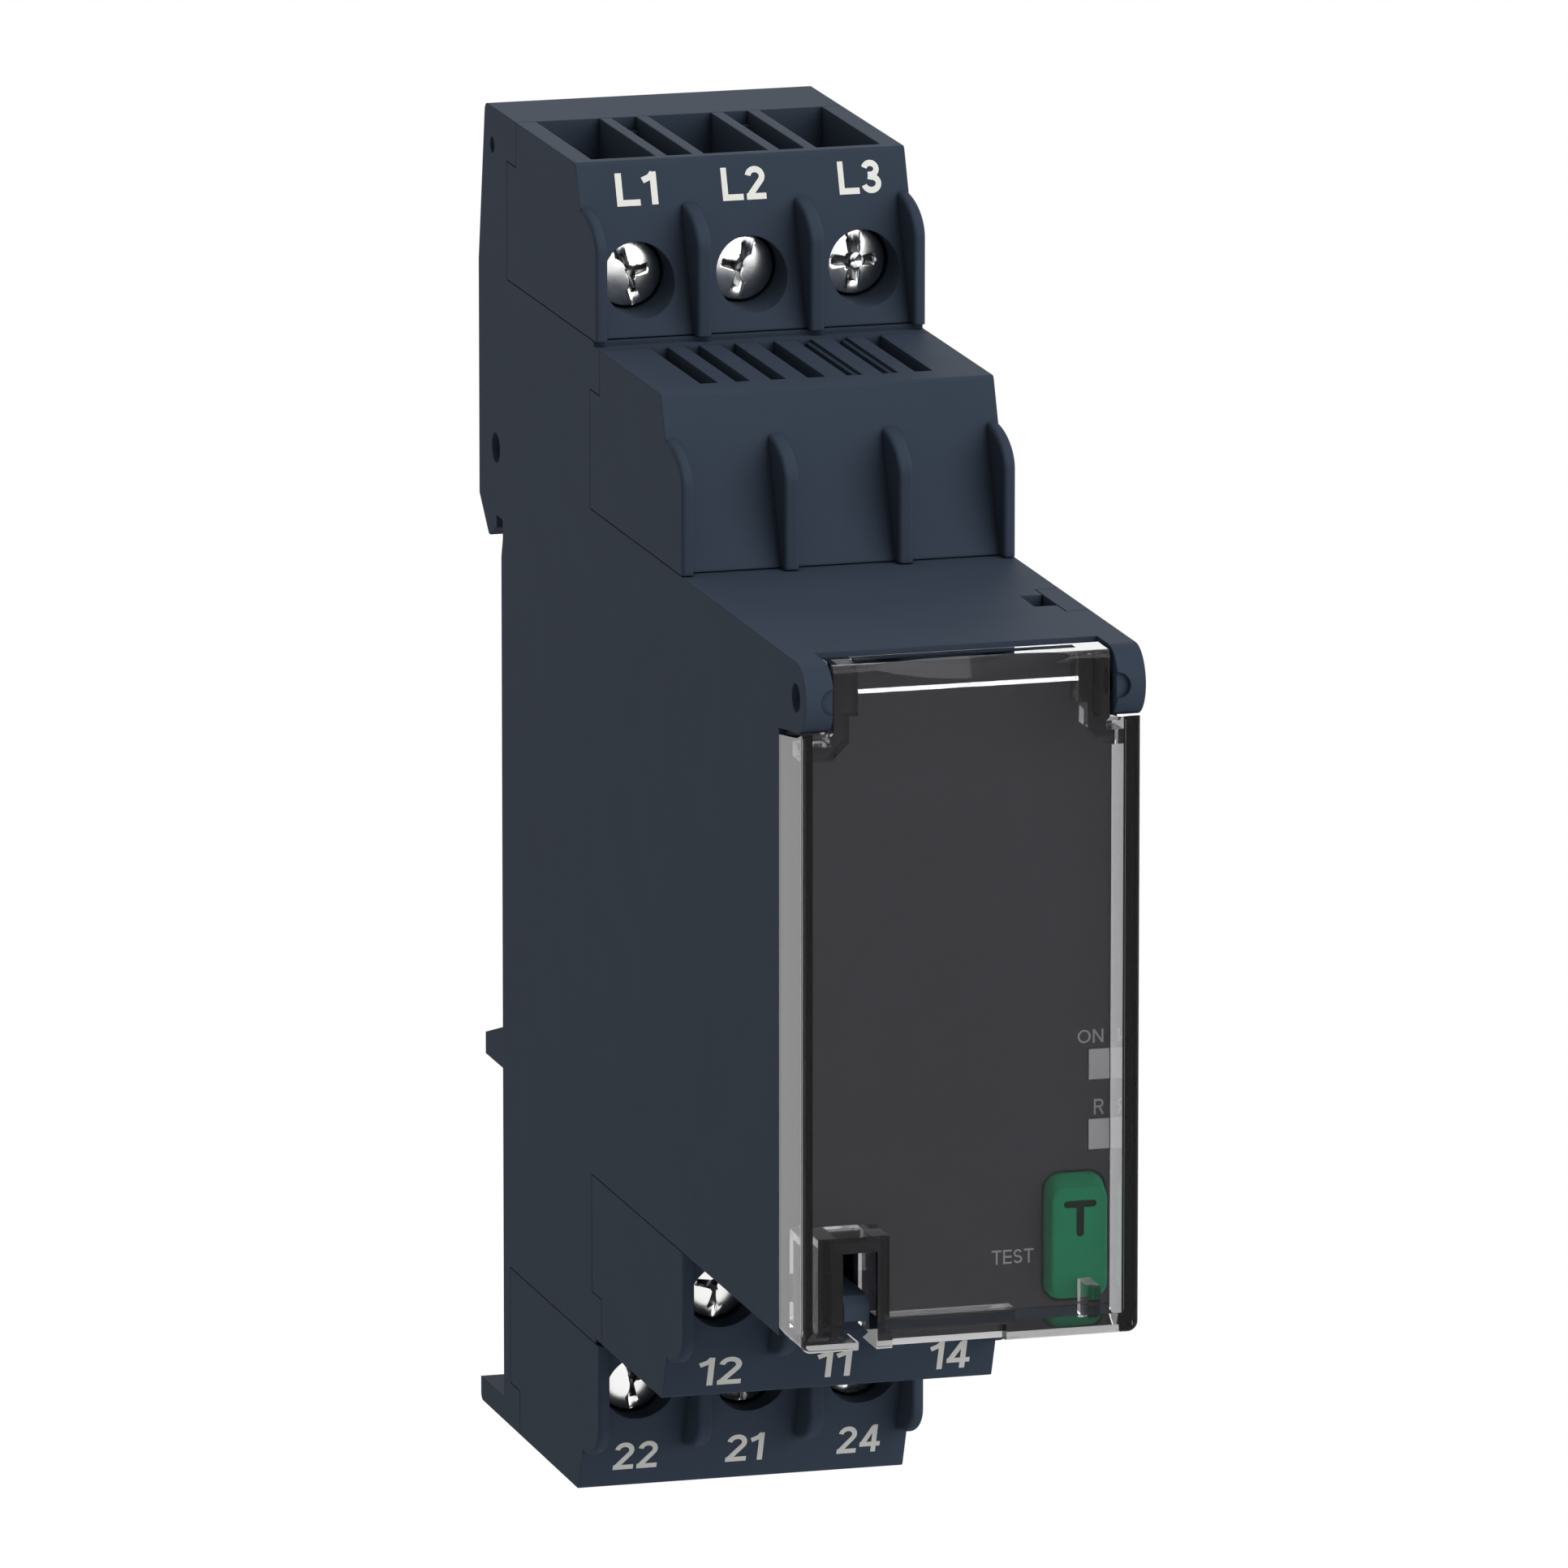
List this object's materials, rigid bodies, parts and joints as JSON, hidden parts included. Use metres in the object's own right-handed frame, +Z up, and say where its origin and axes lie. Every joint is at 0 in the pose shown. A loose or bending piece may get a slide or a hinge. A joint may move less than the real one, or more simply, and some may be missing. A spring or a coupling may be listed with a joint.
{
  "type": "control relay",
  "caption": "Narrow rail-mounted three-phase control relay with stepped screw terminals, a hinged clear front cover and a test button.",
  "frame": {"origin": "middle of the face that seats on the mounting rail, midway across the width and at mid height", "axes": "+X to the right across the width, -Y towards the front cover, +Z up"},
  "size_m": [0.0226, 0.0803, 0.09],
  "materials": {
    "board_laminate": "green solder mask on glass laminate",
    "button_plastic": "green, satin",
    "cage_metal": "zinc-plated steel",
    "clear_plastic": "clear, slightly smoky polycarbonate, polished",
    "clip_plastic": "blue-grey moulded polyamide",
    "component_plastic": "black moulded cases",
    "contact_metal": "tinned brass",
    "housing_plastic": "blue-grey moulded polyamide, fine matt texture",
    "panel_plastic": "charcoal, smooth matt",
    "pipe_plastic": "milky light guide",
    "screw_metal": "bright nickel plate on steel",
    "spring_metal": "spring steel"
  },
  "bodies": {
    "housing": {"housing_tub": "housing_plastic", "side_lid": "housing_plastic", "upper_terminal_shroud": "housing_plastic", "vent_shroud": "housing_plastic", "lower_front_shroud": "housing_plastic", "lower_rear_shroud": "housing_plastic", "front_panel": "panel_plastic", "upper_light_pipe": "pipe_plastic", "lower_light_pipe": "pipe_plastic", "clip_spring": "spring_metal", "main_board": "board_laminate", "upper_terminal_board": "board_laminate", "front_terminal_board": "board_laminate", "rear_terminal_board": "board_laminate", "front_board": "board_laminate", "push_switch": "component_plastic", "upper_lamp": "pipe_plastic", "lower_lamp": "pipe_plastic", "output_relay_1": "component_plastic", "output_relay_2": "component_plastic", "transformer": "component_plastic", "capacitor": "component_plastic", "upper_contact_1": "contact_metal", "upper_contact_2": "contact_metal", "upper_contact_3": "contact_metal", "front_contact_1": "contact_metal", "front_contact_2": "contact_metal", "front_contact_3": "contact_metal", "rear_contact_1": "contact_metal", "rear_contact_2": "contact_metal", "rear_contact_3": "contact_metal"},
    "cover": {"clear_cover": "clear_plastic"},
    "button": {"test_button": "button_plastic", "switch_plunger": "component_plastic"},
    "clip": {"rail_clip": "clip_plastic"},
    "upper_screw_1": {"upper_screw_1": "screw_metal"},
    "upper_cage_1": {"upper_cage_1": "cage_metal"},
    "upper_screw_2": {"upper_screw_2": "screw_metal"},
    "upper_cage_2": {"upper_cage_2": "cage_metal"},
    "upper_screw_3": {"upper_screw_3": "screw_metal"},
    "upper_cage_3": {"upper_cage_3": "cage_metal"},
    "front_screw_1": {"front_screw_1": "screw_metal"},
    "front_cage_1": {"front_cage_1": "cage_metal"},
    "front_screw_2": {"front_screw_2": "screw_metal"},
    "front_cage_2": {"front_cage_2": "cage_metal"},
    "front_screw_3": {"front_screw_3": "screw_metal"},
    "front_cage_3": {"front_cage_3": "cage_metal"},
    "rear_screw_1": {"rear_screw_1": "screw_metal"},
    "rear_cage_1": {"rear_cage_1": "cage_metal"},
    "rear_screw_2": {"rear_screw_2": "screw_metal"},
    "rear_cage_2": {"rear_cage_2": "cage_metal"},
    "rear_screw_3": {"rear_screw_3": "screw_metal"},
    "rear_cage_3": {"rear_cage_3": "cage_metal"}
  },
  "joints": [
    {"name": "cover_hinge", "type": "hinge", "parent": "housing", "child": "cover", "pos_m": [0, -0.072, 0.0202], "axis": [-1, 0, 0], "range_deg": [0, 110]},
    {"name": "button_press", "type": "slide", "parent": "housing", "child": "button", "axis": [0, 1, 0], "range_m": [0, 0.0005], "stiffness_N_per_m": 1200, "springref_m": -0.0008},
    {"name": "clip_slide", "type": "slide", "parent": "housing", "child": "clip", "axis": [0, 0, -1], "range_m": [0, 0.003], "stiffness_N_per_m": 3000, "springref_m": -0.001, "deforming": ["clip_spring"]},
    {"name": "upper_screw_turn_1", "type": "hinge", "parent": "housing", "child": "upper_screw_1", "pos_m": [-0.0077, -0.0191, 0.0375], "axis": [0, 1, 0], "range_deg": [0, 2160]},
    {"name": "upper_cage_rise_1", "type": "slide", "parent": "housing", "child": "upper_cage_1", "axis": [0, -1, 0], "range_m": [0, 0.003]},
    {"name": "upper_screw_turn_2", "type": "hinge", "parent": "housing", "child": "upper_screw_2", "pos_m": [0, -0.0191, 0.0375], "axis": [0, 1, 0], "range_deg": [0, 2160]},
    {"name": "upper_cage_rise_2", "type": "slide", "parent": "housing", "child": "upper_cage_2", "axis": [0, -1, 0], "range_m": [0, 0.003]},
    {"name": "upper_screw_turn_3", "type": "hinge", "parent": "housing", "child": "upper_screw_3", "pos_m": [0.0077, -0.0191, 0.0375], "axis": [0, 1, 0], "range_deg": [0, 2160]},
    {"name": "upper_cage_rise_3", "type": "slide", "parent": "housing", "child": "upper_cage_3", "axis": [0, -1, 0], "range_m": [0, 0.003]},
    {"name": "front_screw_turn_1", "type": "hinge", "parent": "housing", "child": "front_screw_1", "pos_m": [-0.0077, -0.04, -0.0261], "axis": [0, 1, 0], "range_deg": [0, 2160]},
    {"name": "front_cage_rise_1", "type": "slide", "parent": "housing", "child": "front_cage_1", "axis": [0, -1, 0], "range_m": [0, 0.003]},
    {"name": "front_screw_turn_2", "type": "hinge", "parent": "housing", "child": "front_screw_2", "pos_m": [0, -0.04, -0.0261], "axis": [0, 1, 0], "range_deg": [0, 2160]},
    {"name": "front_cage_rise_2", "type": "slide", "parent": "housing", "child": "front_cage_2", "axis": [0, -1, 0], "range_m": [0, 0.003]},
    {"name": "front_screw_turn_3", "type": "hinge", "parent": "housing", "child": "front_screw_3", "pos_m": [0.0077, -0.04, -0.0261], "axis": [0, 1, 0], "range_deg": [0, 2160]},
    {"name": "front_cage_rise_3", "type": "slide", "parent": "housing", "child": "front_cage_3", "axis": [0, -1, 0], "range_m": [0, 0.003]},
    {"name": "rear_screw_turn_1", "type": "hinge", "parent": "housing", "child": "rear_screw_1", "pos_m": [-0.0077, -0.0191, -0.0375], "axis": [0, 1, 0], "range_deg": [0, 2160]},
    {"name": "rear_cage_rise_1", "type": "slide", "parent": "housing", "child": "rear_cage_1", "axis": [0, -1, 0], "range_m": [0, 0.003]},
    {"name": "rear_screw_turn_2", "type": "hinge", "parent": "housing", "child": "rear_screw_2", "pos_m": [0, -0.0191, -0.0375], "axis": [0, 1, 0], "range_deg": [0, 2160]},
    {"name": "rear_cage_rise_2", "type": "slide", "parent": "housing", "child": "rear_cage_2", "axis": [0, -1, 0], "range_m": [0, 0.003]},
    {"name": "rear_screw_turn_3", "type": "hinge", "parent": "housing", "child": "rear_screw_3", "pos_m": [0.0077, -0.0191, -0.0375], "axis": [0, 1, 0], "range_deg": [0, 2160]},
    {"name": "rear_cage_rise_3", "type": "slide", "parent": "housing", "child": "rear_cage_3", "axis": [0, -1, 0], "range_m": [0, 0.003]}
  ],
  "couplings": [
    {"joint": "upper_screw_turn_1", "follows": "upper_cage_rise_1", "rad_per_m": 12566},
    {"joint": "upper_screw_turn_2", "follows": "upper_cage_rise_2", "rad_per_m": 12566},
    {"joint": "upper_screw_turn_3", "follows": "upper_cage_rise_3", "rad_per_m": 12566},
    {"joint": "front_screw_turn_1", "follows": "front_cage_rise_1", "rad_per_m": 12566},
    {"joint": "front_screw_turn_2", "follows": "front_cage_rise_2", "rad_per_m": 12566},
    {"joint": "front_screw_turn_3", "follows": "front_cage_rise_3", "rad_per_m": 12566},
    {"joint": "rear_screw_turn_1", "follows": "rear_cage_rise_1", "rad_per_m": 12566},
    {"joint": "rear_screw_turn_2", "follows": "rear_cage_rise_2", "rad_per_m": 12566},
    {"joint": "rear_screw_turn_3", "follows": "rear_cage_rise_3", "rad_per_m": 12566}
  ]
}
